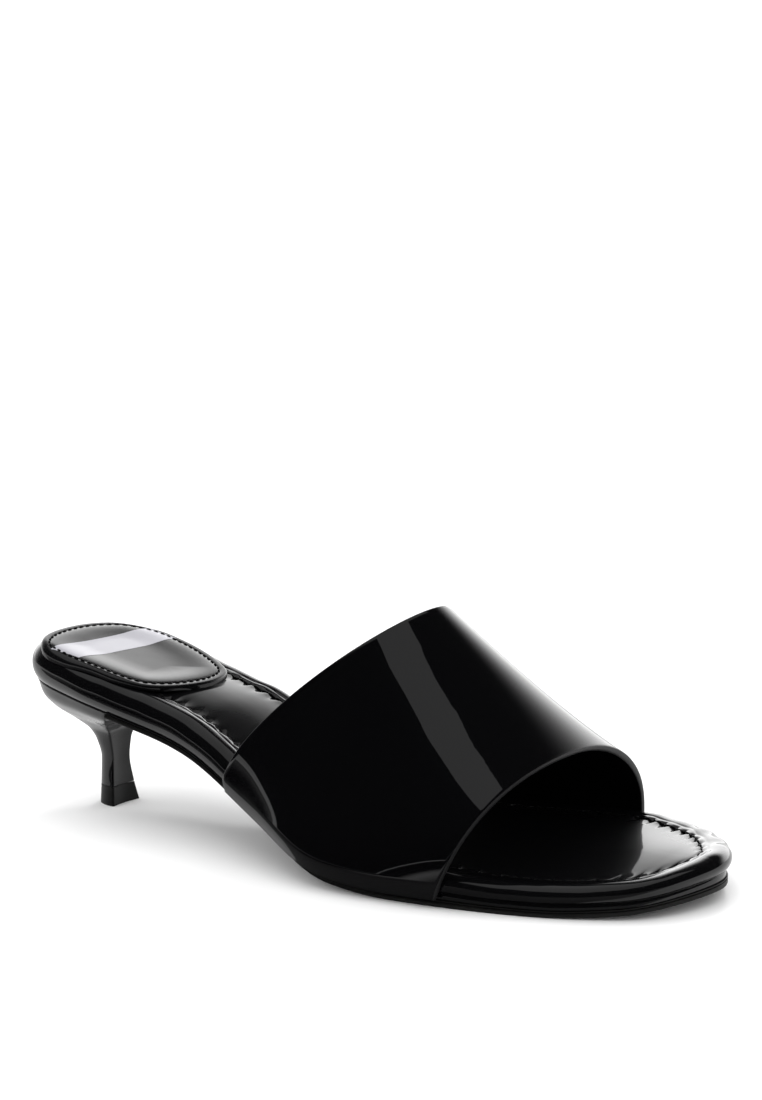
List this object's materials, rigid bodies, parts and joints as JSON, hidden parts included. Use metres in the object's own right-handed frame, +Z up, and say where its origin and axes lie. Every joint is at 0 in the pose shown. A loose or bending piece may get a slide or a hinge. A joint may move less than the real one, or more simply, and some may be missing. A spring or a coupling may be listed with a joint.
{
  "type": "kitten heel sandal",
  "caption": "Open-toed slide sandal with one wide glossy band over the forefoot, a padded curved footbed with a rolled edge and a small flared kitten heel.",
  "frame": {"origin": "middle of the footprint's bounding box, on the floor that the shoe stands on", "axes": "+X from heel to toe, +Y to the wearer's left, which is the big-toe side, +Z up"},
  "size_m": [0.245, 0.1018, 0.0785],
  "materials": {
    "sole_edge": "painted edge over a moulded sole, satin black",
    "rim_patent": "gathered black patent, high gloss",
    "panel_patent": "smooth black patent, high gloss",
    "pad_patent": "smooth black patent over thin foam, high gloss, with a plain satin silver band",
    "strap_patent": "black patent, mirror gloss, edges painted",
    "heel_cover": "moulded heel wrapped in black patent",
    "top_lift": "matt black moulded tip"
  },
  "bodies": {
    "root": {"outsole": "sole_edge", "footbed": "rim_patent", "insole_panel": "panel_patent", "heel_pad": "pad_patent", "strap": "strap_patent", "heel": "heel_cover", "top_piece": "top_lift"}
  },
  "joints": []
}
